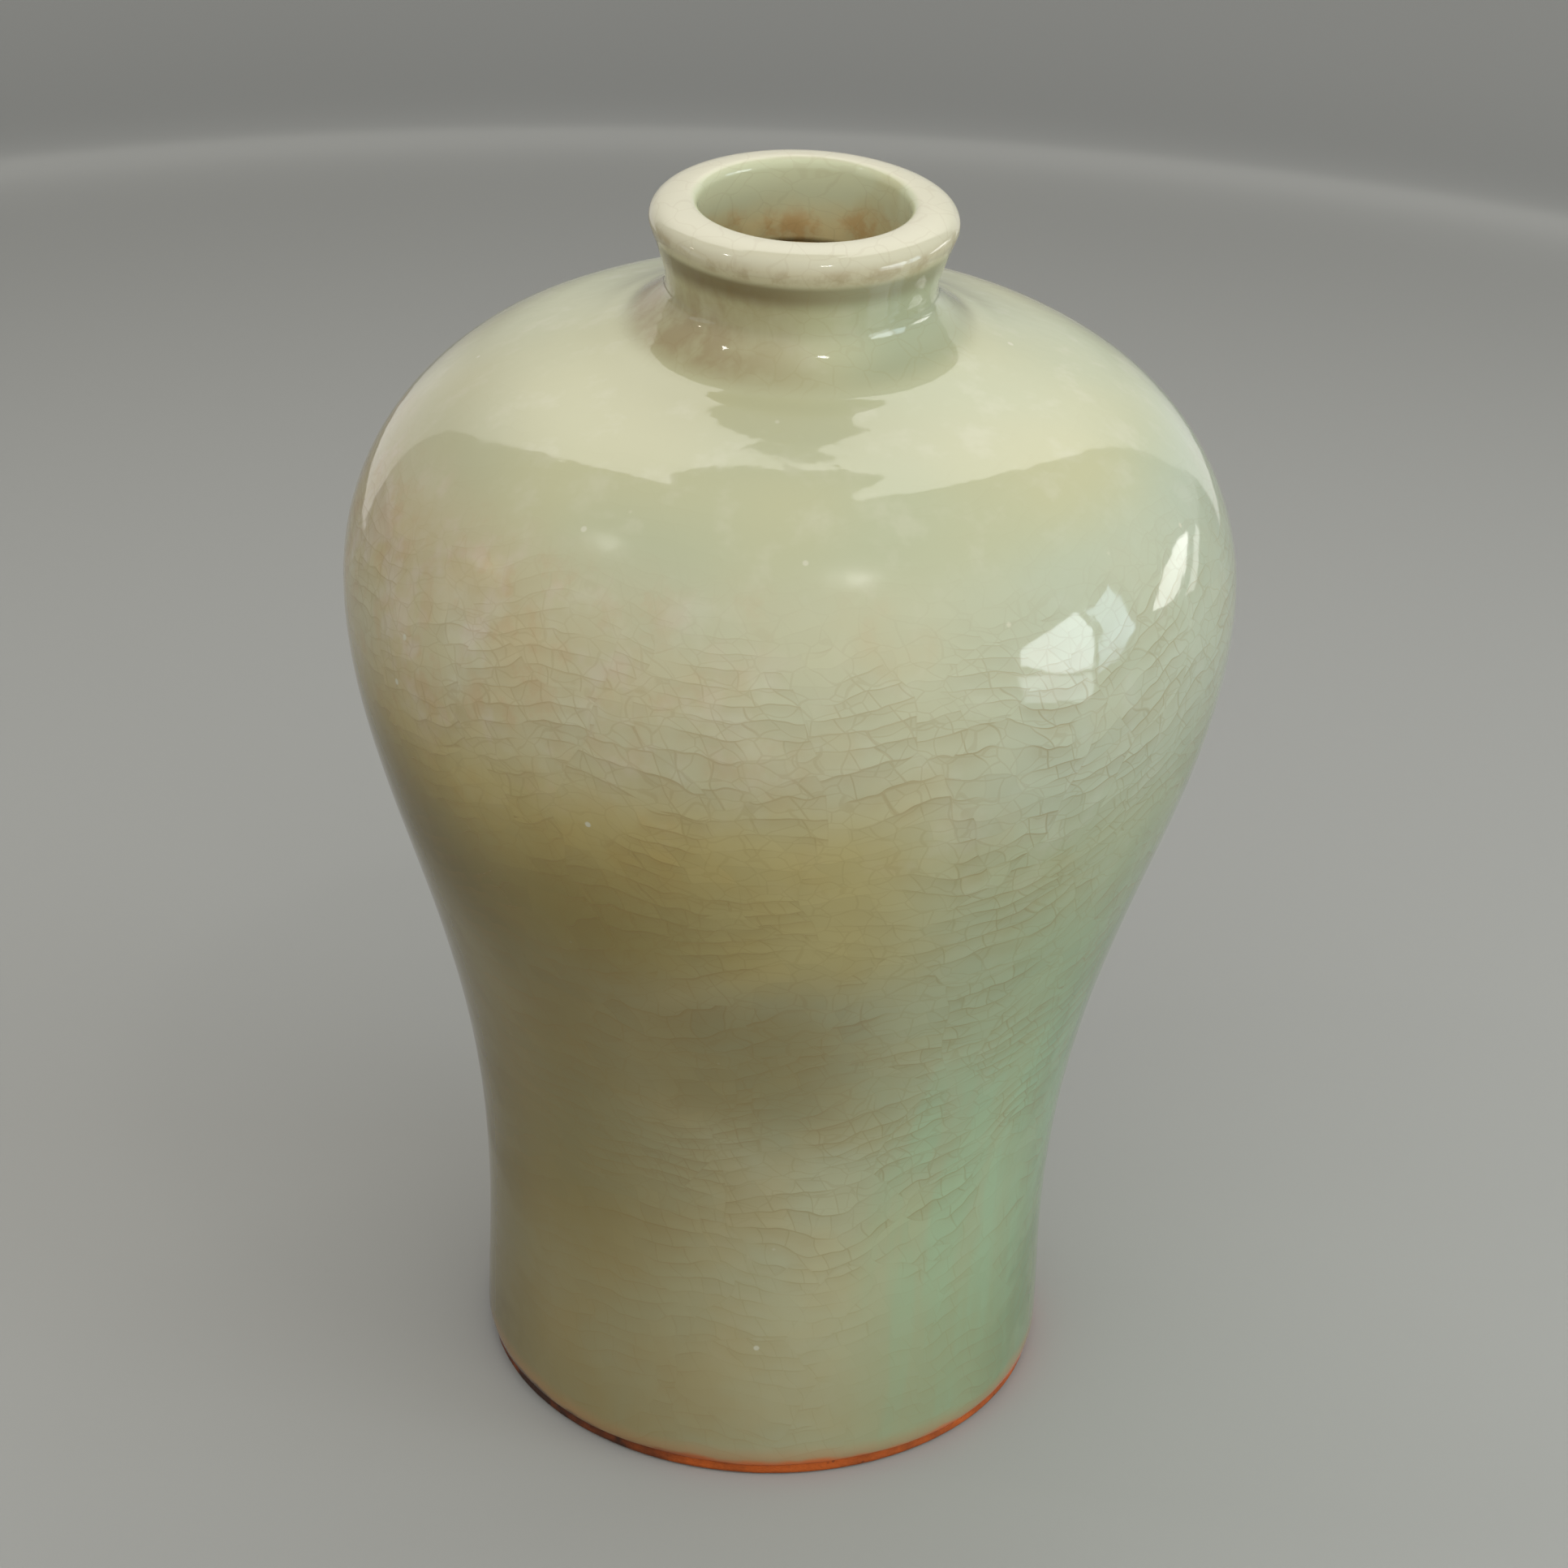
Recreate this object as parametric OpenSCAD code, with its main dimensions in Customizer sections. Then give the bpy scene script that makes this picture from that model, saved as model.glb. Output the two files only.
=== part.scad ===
// Meiping vase: a stoneware bottle form with a narrow mouth, thrown in sections,
// luted together with slip and coated with crackled celadon glaze.
// Millimetres. The vase stands on z = 0 with its axis on Z.

/* [Body] */
// Height from the table to the crest of the lip
height = 230; // [205:1:260]
// Diameter of the glazed wall just above the foot ring
foot_d = 105.5; // [96:0.5:116]
// Diameter at the narrowest place of the lower body
waist_d = 105; // [92:0.5:116]
// Height of the narrowest place above the table
waist_z = 25; // [15:1:45]
// Largest diameter, at the shoulder swell
belly_d = 156.5; // [130:0.5:180]
// Depth of the largest diameter below the crest of the lip
belly_drop = 70; // [58:1:90]
// Diameter of the circle where the swell of the shoulder turns into the hollow of the neck
shoulder_d = 92; // [80:1:110]
// Depth of that circle below the crest of the lip
shoulder_drop = 28.4; // [25.4:0.2:36]
// Rise of the shoulder towards the neck at that circle, in degrees
shoulder_slope = 14; // [4:1:24]

/* [Fullness of the curves] */
// How long the lower body stays upright above the waist
waist_fullness = 0.5; // [0.3:0.01:0.65]
// How long the flank stays upright below the belly
flank_fullness = 0.27; // [0.2:0.01:0.4]
// How long the swell stays upright above the belly
swell_fullness = 0.62; // [0.4:0.01:0.75]
// How far the shoulder stays flat outside its circle
shoulder_fullness = 0.55; // [0.35:0.01:0.7]
// How far the shoulder stays flat inside its circle
rise_fullness = 0.42; // [0.2:0.01:0.7]
// How long the neck stays upright above the shoulder
neck_fullness = 0.63; // [0.4:0.01:0.95]

/* [Neck and mouth] */
// Outside diameter at the narrowest place of the neck
neck_d = 46.2; // [43:0.2:50]
// Depth of that place below the crest of the lip
neck_drop = 15.2; // [12:0.2:18]
// Outside diameter of the rolled lip
lip_d = 52.6; // [49:0.2:60]
// Depth of the widest place of the lip below its crest
lip_drop = 3.6; // [2.4:0.2:5]
// Diameter of the straight bore of the mouth
bore_d = 36; // [30:0.2:38]
// Distance from the bore out to the crest, the highest circle of the lip
mouth_round = 1.8; // [1.4:0.1:4]
// Depth below the crest at which the bore becomes straight
mouth_drop = 2; // [1.6:0.2:3.4]

/* [Walls and glaze] */
// Thickness of the wall at the foot, with both coats of glaze
foot_wall = 8.5; // [7:0.1:11]
// Thickness of the wall at the belly, with both coats of glaze
belly_wall = 6.5; // [5:0.1:8]
// Thickness of the glaze outside
outer_glaze_t = 0.8; // [0.4:0.1:1.2]
// Thickness of the glaze inside
inner_glaze_t = 0.6; // [0.3:0.1:1]
// Thickness of the glaze under the base
base_glaze_t = 0.6; // [0.3:0.1:1.2]
// Height of the bare band between the table and the glaze line
glaze_line = 2.2; // [1.4:0.1:3.2]

/* [Foot] */
// Height of the foot ring
ring_h = 4.5; // [4:0.1:7]
// Radius of the worn edges of the foot ring
ring_edge = 1.2; // [0.5:0.1:2]
// Width of the ledge that carries the base disc; the foot ring is as wide as wall and ledge
ledge_w = 3; // [2:0.1:5]
// Thickness of that ledge
ledge_t = 2; // [1.5:0.1:4]
// Thickness of the base disc
base_t = 6; // [4:0.1:9]
// Height and width of the coil pressed into the inner corner
coil_size = 8; // [5:0.5:12]

/* [Luted joints] */
// Thickness of the slip between two sections
slip_t = 0.8; // [0.4:0.1:1.2]
// Height of the joint between the lower and the upper wall
waist_joint_z = 105; // [80:1:125]
// Overlap of the two walls at that joint
waist_lap = 5; // [3:0.5:8]
// Depth of the neck joint below the crest of the lip
neck_joint_drop = 24; // [22:0.2:27]
// Overlap of the shoulder and the neck at that joint
neck_lap = 3; // [1.6:0.2:4.4]

/* [Hidden] */
$fn = 180;

celadon = [0.66, 0.68, 0.52];
thin_celadon = [0.60, 0.57, 0.42];
burnt_clay = [0.66, 0.33, 0.15];
buff_clay = [0.72, 0.65, 0.54];
pale_slip = [0.80, 0.75, 0.66];

// Heights that follow from the sizes above
bed_z = ring_h + slip_t;
seat_z = bed_z + ledge_t;
disc_z = seat_z + slip_t;
floor_z = disc_z + base_t;
belly_z = height - belly_drop;
neck_z = height - neck_drop;

// Points along the outline are [radius, height]
function mix(a, b, t) = a + (b - a) * t;
function unit(v) = v / norm(v);
function curve_point(c, t) =
    c[0] * pow(1 - t, 3) + 3 * c[1] * t * pow(1 - t, 2) + 3 * c[2] * t * t * (1 - t) + c[3] * pow(t, 3);
function curve_speed(c, t) =
    3 * (c[1] - c[0]) * pow(1 - t, 2) + 6 * (c[2] - c[1]) * t * (1 - t) + 3 * (c[3] - c[2]) * t * t;
function straight(a, b) = [a, mix(a, b, 1 / 3), mix(a, b, 2 / 3), b];

// A curve from a to b that leaves a towards a corner and reaches b from it; the fullnesses say how near it keeps
function cornered(a, b, corner, fullness_a, fullness_b) =
    [a, mix(a, corner, fullness_a), mix(b, corner, fullness_b), b];

// Key circles of the glazed outside, from the foot over the lip into the mouth
foot_at = [foot_d / 2, bed_z];
waist_at = [waist_d / 2, waist_z];
belly_at = [belly_d / 2, belly_z];
shoulder_at = [shoulder_d / 2, height - shoulder_drop];
neck_at = [neck_d / 2, neck_z];
lip_at = [lip_d / 2, height - lip_drop];
crest_at = [bore_d / 2 + mouth_round, height];
mouth_at = [bore_d / 2, height - mouth_drop];
throat_at = [bore_d / 2, neck_z];

// Fullness of the small curves at the foot and the lip
up = [0, 1];
foot_fullness = 0.3;
lip_root_fullness = 0.33;
lip_under_fullness = 0.12;
lip_roll_fullness = 0.7;
crest_fullness = 0.55;
mouth_fullness = 0.55;

// Point at a radius on the slope of the shoulder drawn on as a straight line
function shoulder_line(r) = [r, shoulder_at[1] + (shoulder_at[0] - r) * tan(shoulder_slope)];

// One curve between each two key circles
outline = [
    [foot_at, foot_at + up * foot_fullness * (waist_z - bed_z),
        waist_at - up * foot_fullness * (waist_z - bed_z), waist_at],
    [waist_at, waist_at + up * waist_fullness * (belly_z - waist_z),
        belly_at - up * flank_fullness * (belly_z - waist_z), belly_at],
    cornered(belly_at, shoulder_at, shoulder_line(belly_at[0]), swell_fullness, shoulder_fullness),
    cornered(shoulder_at, neck_at, shoulder_line(neck_at[0]), rise_fullness, neck_fullness),
    [neck_at, neck_at + up * lip_root_fullness * (lip_at[1] - neck_z),
        lip_at - up * lip_under_fullness * (lip_at[1] - neck_z), lip_at],
    cornered(lip_at, crest_at, [lip_at[0], height], lip_roll_fullness, crest_fullness),
    cornered(crest_at, mouth_at, [mouth_at[0], height], mouth_fullness, mouth_fullness),
    straight(mouth_at, throat_at)
];
curve_steps = [6, 40, 28, 18, 12, 10, 8, 2];

// A station is the number of a curve and how far along it the point lies
last_station = len(outline);
neck_station = 4;
function curve_of(s) = min(floor(s), last_station - 1);
function outline_point(s) = curve_point(outline[curve_of(s)], s - curve_of(s));
function outline_speed(s) = curve_speed(outline[curve_of(s)], s - curve_of(s));
function into_wall(s) = let (d = unit(outline_speed(s))) [-d[1], d[0]];
function wall_point(s, depth) = outline_point(s) + into_wall(s) * depth;
function station_past(s, distance) = s + distance / norm(outline_speed(s));
function station_at(z, depth_at, low, high, tries = 40) =
    let (middle = (low + high) / 2)
    tries == 0 ? middle
    : wall_point(middle, depth_at(middle))[1] < z ? station_at(z, depth_at, middle, high, tries - 1)
    : station_at(z, depth_at, low, middle, tries - 1);

// The wall thins from the foot to the belly and again to the neck
neck_wall = (neck_d - bore_d) / 2;
function eased(t) = (1 - cos(180 * max(0, min(1, t)))) / 2;
function wall_t(s) =
    let (z = outline_point(s)[1])
    z < belly_z ? mix(foot_wall, belly_wall, eased((z - bed_z) / (belly_z - bed_z)))
    : mix(belly_wall, neck_wall, eased((z - belly_z) / (neck_z - belly_z)));
clay_out = function (s) outer_glaze_t;
clay_in = function (s) wall_t(s) - inner_glaze_t;
tongue_face = function (s) (outer_glaze_t + wall_t(s) - inner_glaze_t) / 2;
rebate_face = function (s) tongue_face(s) - slip_t;
glazed_in = function (s) wall_t(s);

// Stations of the joints, the floor and the top of the corner coil
surface = function (s) 0;
waist_joint = station_at(waist_joint_z, surface, 1, 2);
waist_joint_end = station_past(waist_joint, waist_lap);
neck_joint = station_at(height - neck_joint_drop, surface, 2, neck_station);
neck_joint_end = station_past(neck_joint, neck_lap);
floor_station = station_at(floor_z, clay_in, 0, 2);
coil_station = station_at(floor_z + coil_size, clay_in, 0, 2);
joint_stations = [
    waist_joint, station_past(waist_joint, slip_t), waist_joint_end, station_past(waist_joint_end, slip_t),
    neck_joint, station_past(neck_joint, slip_t), neck_joint_end, station_past(neck_joint_end, slip_t),
    floor_station, coil_station
];

// Every section samples the outline at the same stations, so that neighbours meet face to face.
// An even station gives way to a joint's own station less than this share of a step away.
function sorted(v) =
    len(v) < 2 ? v
    : let (pivot = v[0])
    concat(sorted([for (x = v) if (x < pivot) x]), [pivot], sorted([for (x = v) if (x > pivot) x]));
give_way = 0.4;
function crowded(s, spacing) =
    len([for (j = joint_stations) if (abs(j - s) < spacing * give_way) j]) > 0;
even_stations = [for (i = [0:last_station - 1], k = [0:curve_steps[i] - 1]) let (spacing = 1 / curve_steps[i])
    if (k == 0 || !crowded(i + k * spacing, spacing)) i + k * spacing];
stations = sorted(concat(even_stations, joint_stations, [last_station]));
function between(a, b) = [for (s = stations) if (s >= a && s <= b) s];
function reversed(v) = [for (i = [len(v) - 1:-1:0]) v[i]];
function along(a, b, depth_at) = [for (s = between(a, b)) wall_point(s, depth_at(s))];
function back(a, b, depth_at) = reversed(along(a, b, depth_at));

module turned(points) {
    rotate_extrude() polygon(points);
}

// Arc of a circle about centre c, from angle a to angle b
function arc(c, r, a, b, steps = 6) =
    [for (i = [0:steps]) c + r * [cos(mix(a, b, i / steps)), sin(mix(a, b, i / steps))]];

clay_r = foot_d / 2 - outer_glaze_t;

// Radius of the cylinder in the lower wall that receives the base disc, and of the ring below it
seat_r = wall_point(floor_station, clay_in(floor_station))[0];
ring_bore_r = seat_r - ledge_w;

// Bare ring that the vase stands on, with worn edges
module foot_ring() {
    color(burnt_clay)
    turned(concat(
        arc([clay_r - ring_edge, ring_edge], ring_edge, -90, 0),
        [[clay_r, glaze_line], [clay_r, ring_h], [ring_bore_r, ring_h]],
        arc([ring_bore_r + ring_edge, ring_edge], ring_edge, 180, 270)));
}

// Bed of slip between the foot ring and the lower wall
module foot_slip() {
    color(pale_slip)
    turned([[ring_bore_r, ring_h], [clay_r, ring_h], [clay_r, bed_z], [ring_bore_r, bed_z]]);
}

// Thrown wall from the foot to the joint at mid height, with a ledge for the base disc
module lower_wall() {
    color(buff_clay)
    turned(concat(
        along(0, waist_joint, clay_out),
        along(waist_joint, waist_joint_end, tongue_face),
        back(floor_station, waist_joint_end, clay_in),
        [[seat_r, seat_z], [ring_bore_r, seat_z], [ring_bore_r, bed_z]]));
}

// Slip on the ledge and round the edge of the base disc
module base_slip() {
    disc_r = seat_r - slip_t;
    color(pale_slip)
    turned([[ring_bore_r, seat_z], [seat_r, seat_z], [seat_r, floor_z], [disc_r, floor_z],
        [disc_r, disc_z], [ring_bore_r, disc_z]]);
}

// Disc that closes the bottom
module base_disc() {
    color(buff_clay)
    translate([0, 0, disc_z]) cylinder(r = seat_r - slip_t, h = base_t);
}

// Hollow curve from the wall to the floor, on the clay
coil_top = wall_point(coil_station, clay_in(coil_station));
coil_toe = [seat_r - coil_size, floor_z];
coil_fullness = 0.55;
coil_curve = [coil_top, coil_top - unit(outline_speed(coil_station)) * coil_fullness * coil_size,
    coil_toe + [coil_fullness * coil_size, 0], coil_toe];
coil_steps = 8;
function coil_points(lift) = [for (i = [1:coil_steps]) let (t = i / coil_steps, d = unit(curve_speed(coil_curve, t)))
    curve_point(coil_curve, t) + lift * [d[1], -d[0]]];

// Coil of clay pressed into the corner between wall and floor
module corner_coil() {
    color(buff_clay)
    turned(concat(
        reversed(coil_points(0)),
        back(floor_station, coil_station, clay_in)));
}

// Stepped bed of slip in a lap joint that starts at one station and ends at another
module lap_slip(start, end) {
    color(pale_slip)
    turned(concat(
        along(start, station_past(start, slip_t), clay_out),
        along(station_past(start, slip_t), station_past(end, slip_t), rebate_face),
        back(end, station_past(end, slip_t), clay_in),
        back(start, end, tongue_face)));
}

module waist_slip() {
    lap_slip(waist_joint, waist_joint_end);
}

module neck_slip() {
    lap_slip(neck_joint, neck_joint_end);
}

// Thrown wall of the belly and the shoulder
module upper_wall() {
    start = station_past(waist_joint, slip_t);
    inner_start = station_past(waist_joint_end, slip_t);
    color(buff_clay)
    turned(concat(
        along(start, neck_joint, clay_out),
        along(neck_joint, neck_joint_end, tongue_face),
        back(inner_start, neck_joint_end, clay_in),
        back(start, inner_start, rebate_face)));
}

// Neck collar with the rolled lip, luted on the shoulder
module neck_and_lip() {
    start = station_past(neck_joint, slip_t);
    inner_start = station_past(neck_joint_end, slip_t);
    color(buff_clay)
    turned(concat(
        along(start, last_station, clay_out),
        back(inner_start, neck_station, clay_in),
        back(start, inner_start, rebate_face)));
}

// Celadon glaze from the glaze line up over the lip and down the bore of the mouth
module outer_glaze() {
    color(celadon)
    turned(concat(
        arc([clay_r, glaze_line + outer_glaze_t], outer_glaze_t, -90, 0),
        along(0, last_station, surface),
        back(0, last_station, clay_out)));
}

// Glaze poured inside, from the bore down the wall and over the floor
module inner_glaze() {
    color(thin_celadon)
    turned(concat(
        [[0, floor_z]],
        reversed(coil_points(0)),
        along(coil_station, neck_station, clay_in),
        back(coil_station, neck_station, glazed_in),
        coil_points(inner_glaze_t),
        [[0, floor_z + inner_glaze_t]]));
}

// Glaze under the base disc, turned down along the bore of the foot ring
module base_glaze() {
    skirt_z = ring_h + slip_t / 2;
    lining_r = ring_bore_r - base_glaze_t;
    corner = [lining_r - base_glaze_t, disc_z - 2 * base_glaze_t];
    color(celadon)
    turned(concat(
        [[0, disc_z], [0, disc_z - base_glaze_t]],
        arc(corner, base_glaze_t, 90, 0),
        [[lining_r, skirt_z], [ring_bore_r, skirt_z], [ring_bore_r, disc_z]]));
}

foot_ring();
foot_slip();
lower_wall();
base_slip();
base_disc();
corner_coil();
waist_slip();
upper_wall();
neck_slip();
neck_and_lip();
outer_glaze();
inner_glaze();
base_glaze();
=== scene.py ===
"""Dressing for a small celadon meiping vase: glaze shells, foot, clay finishes and studio."""
import math
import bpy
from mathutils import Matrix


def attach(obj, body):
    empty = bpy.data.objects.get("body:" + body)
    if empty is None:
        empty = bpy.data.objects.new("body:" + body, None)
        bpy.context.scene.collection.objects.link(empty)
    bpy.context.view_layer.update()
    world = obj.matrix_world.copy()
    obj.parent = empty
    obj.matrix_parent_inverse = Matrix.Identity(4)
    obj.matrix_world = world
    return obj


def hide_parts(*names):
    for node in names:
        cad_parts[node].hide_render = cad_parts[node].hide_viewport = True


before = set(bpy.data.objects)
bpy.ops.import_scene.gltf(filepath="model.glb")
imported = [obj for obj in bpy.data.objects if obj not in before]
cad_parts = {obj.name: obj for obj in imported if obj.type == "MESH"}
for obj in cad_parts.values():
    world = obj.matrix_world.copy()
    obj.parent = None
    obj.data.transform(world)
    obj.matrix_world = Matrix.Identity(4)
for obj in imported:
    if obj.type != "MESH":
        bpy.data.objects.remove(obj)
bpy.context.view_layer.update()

from types import SimpleNamespace

import bmesh
import bpy
from mathutils import Matrix, Vector

bl_info = {
    "name": "Celadon meiping vase",
    "version": (1, 0, 0),
    "blender": (4, 5, 0),
    "location": "View3D > Sidebar > Meiping",
    "description": "Throws the glaze and foot of a meiping vase over its clay frame and fires them",
    "category": "Object",
}

MM = 0.001
CLAY_NODES = ("lower_wall", "upper_wall", "neck_and_lip", "base_disc", "corner_coil")
SLIP_NODES = ("foot_slip", "base_slip", "waist_slip", "neck_slip")

RING_GRID = 0.004 * MM
WELD_GAP = 0.0002 * MM
SEAM_EASE = 1.5 * MM
GLAZE_IOR = 1.52
SHOULDER_TOP = 0.19
NECK_SIDE = 0.0215
SHOULDER_RIDGE_AT = (0.0427, 0.0034)
NECK_CREASE_AT = (0.0305, 0.0018)
NECK_RIDGE_AT = (0.2112, 0.0006)

VASE_MIDDLE = Vector((0, 0, 0.17))
FLOOR_RADIUS = 4.0
SHEET_AWAY = 0.65
SHEET_MIDDLE = Vector((0, 0, 0.19))
SHEET_FOOT = -14.5
SHEET_CREST = 62.5
CAMERA_AT = (0.0004, -0.667, 0.4944)
CAMERA_TILT = 60.49
CAMERA_PAN = 2.3
CAMERA_LENS = 97.2
CAMERA_SENSOR = 36.0
COOL, BLUE = (0.86, 0.95, 1.0), (0.72, 0.88, 1.0)
WARM, WHITE, PAPER = (1.0, 0.9, 0.74), (1.0, 0.99, 0.96), (1.0, 0.985, 0.95)


def tint(red, green, blue):
    """A colour as seen on screen, 0 to 255, as the linear values that Blender keeps."""
    linear = []
    for part in (red, green, blue):
        part = part / 255
        linear.append(part / 12.92 if part <= 0.04045 else ((part + 0.055) / 1.055) ** 2.4)
    return (*linear, 1.0)


IRON_SPECK = tint(70, 48, 34)


def colour(name, description, default):
    """A colour property with its default given as seen on screen."""
    return bpy.props.FloatVectorProperty(
        name=name, description=description, subtype="COLOR", size=4, min=0, max=1,
        default=tint(*default))


def length(name, description, default, low, high):
    """A length property, given in millimetres."""
    return bpy.props.FloatProperty(
        name=name, description=description, default=default * MM, min=low * MM, max=high * MM,
        unit="LENGTH", precision=5)


def level(name, description, default):
    """A brightness property."""
    return bpy.props.FloatProperty(name=name, description=description, default=default, min=0)


class MeipingSizes(bpy.types.PropertyGroup):
    """How the pieces are thrown."""

    round_steps: bpy.props.IntProperty(
        name="Steps Round", description="Faces round the glaze shells", default=232, min=48, max=400)
    row_gap: length("Row Gap", "Longest face up the glazed side", 1.15, 0.4, 8)
    sway: length("Sway", "How far the wall wanders from a true circle", 0.22, 0, 1)
    ripple: length("Ripple", "Depth of the finger ripples under the glaze", 0.05, 0, 0.6)
    inner_ripple: length("Inner Ripple", "Depth of the throwing ridges inside", 0.3, 0, 1)
    ripple_gap: length("Ripple Gap", "Height of one ripple", 14, 3, 60)
    shoulder_ridge: length(
        "Shoulder Ridge", "Height of the finger ridge round the shoulder", 0.2, 0, 0.6)
    neck_crease: length(
        "Neck Crease", "Depth of the crease where the luted neck meets the shoulder", 0.4, 0, 0.5)
    neck_ridge: length(
        "Neck Ridge", "Height of the ridge where the neck meets the shoulder", 0.12, 0, 0.5)
    hem_thinning: length(
        "Hem Thinning", "How much thinner the outer glaze is at its lower edge", 0.4, 0, 0.6)
    edge_waver: length("Edge Waver", "How far the glaze line at the foot wavers", 0.5, 0, 2)
    foot_wear: length("Foot Wear", "Unevenness of the bare foot ring", 0.12, 0, 0.6)
    craze_cell: length("Craze Cell", "Size of the cells in the fine craze net", 6.0, 1, 30)
    craze_tier: length("Craze Tier", "Height of the wavy craze tiers", 3.7, 1, 30)
    craze_width: length("Craze Width", "Width of one stained craze line", 0.24, 0.05, 2)
    seed: bpy.props.IntProperty(
        name="Seed", description="Picks another firing of the same vase", default=7, min=0)


class MeipingColours(bpy.types.PropertyGroup):
    """Colours of the fired glaze, the clay and the floor."""

    celadon: colour("Celadon", "Grey green of the full glaze", (191, 196, 163))
    sea_green: colour("Sea Green", "Bluer green where the glaze lies thick", (164, 188, 144))
    straw: colour("Straw", "Yellowed glaze on the belly", (206, 200, 156))
    tan: colour("Tan", "Warm side of the firing", (202, 184, 133))
    # Painted shade: this umber darkens the lower warm side, the waist and the neck's crease.
    shade_umber: colour("Umber", "Smoky shade of the warm side", (130, 115, 52))
    honey: colour("Honey", "Yellow glaze across the belly", (196, 172, 84))
    mint: colour("Mint", "Pale streaks low on the cool side", (172, 208, 166))
    # Milky glaze clouds, partly painted reflection on the warm belly.
    bloom_and_reflection: colour("Bloom", "Milky clouds on the warm side", (222, 210, 192))
    haze: colour("Haze", "Blue green haze on the cool side", (178, 200, 186))
    # Painted shade down the warm side's silhouette; the same brown darkens the glaze towards the
    # foot.
    edge_shade_brown: colour("Edge Brown", "Darkest smoke at the warm side", (104, 92, 52))
    # Deep green glaze, darkened here as painted shade at the cool side's silhouette.
    edge_shade_green: colour("Edge Green", "Deep green at the cool side", (96, 132, 88))
    flush: colour("Flush", "Orange blush where the glaze is thin", (196, 142, 92))
    cream: colour("Cream", "Thin pale glaze on the lip", (219, 217, 193))
    lip_beige: colour("Lip Beige", "Warm rolled edge of the lip", (208, 199, 166))
    collar_brown: colour("Collar Brown", "Brown on the warm side of the neck", (164, 142, 104))
    collar_green: colour("Collar Green", "Grey green on the cool side of the neck", (166, 176, 146))
    # Painted shade under the lip.
    under_lip_shade: colour("Shelter Brown", "Pooled glaze under the lip", (112, 92, 58))
    throat_green: colour("Throat Green", "Top of the throat", (216, 220, 186))
    throat_straw: colour("Throat Straw", "Lower part of the throat", (242, 226, 172))
    craze_stain: colour("Craze Stain", "Tea brown in the craze lines", (150, 122, 66))
    stain_inside: colour("Inner Stain", "Brown wash down inside the throat", (206, 152, 88))
    foot_orange: colour("Foot Orange", "Bare clay that fired orange", (226, 110, 38))
    foot_burnt: colour("Foot Burnt", "Bare clay that fired dark", (66, 38, 24))
    foot_buff: colour("Foot Buff", "Bare clay worn pale on the underside", (196, 158, 116))
    clay: colour("Clay", "Grey stoneware body", (168, 156, 136))
    slip: colour("Slip", "Luting slip in the joints", (190, 180, 160))
    floor: colour("Floor", "Floor as the camera and the gloss see it", (176, 176, 172))
    floor_shade: colour("Floor Shade", "Floor that the light bounces from", (112, 112, 108))


class MeipingStudio(bpy.types.PropertyGroup):
    """Brightness of each light, as the radiance of its face."""

    back: level("Back", "Tall white sheet behind the vase", 2.6)
    window: level("Window", "Cool panes at the sides", 5.5)
    front: level("Front", "Wide fill from the front", 0.8)
    glint: level("Glint", "Small lamps that dot the neck and lip", 19)
    room: level("Room", "Even light from all round", 0.42)


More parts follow.
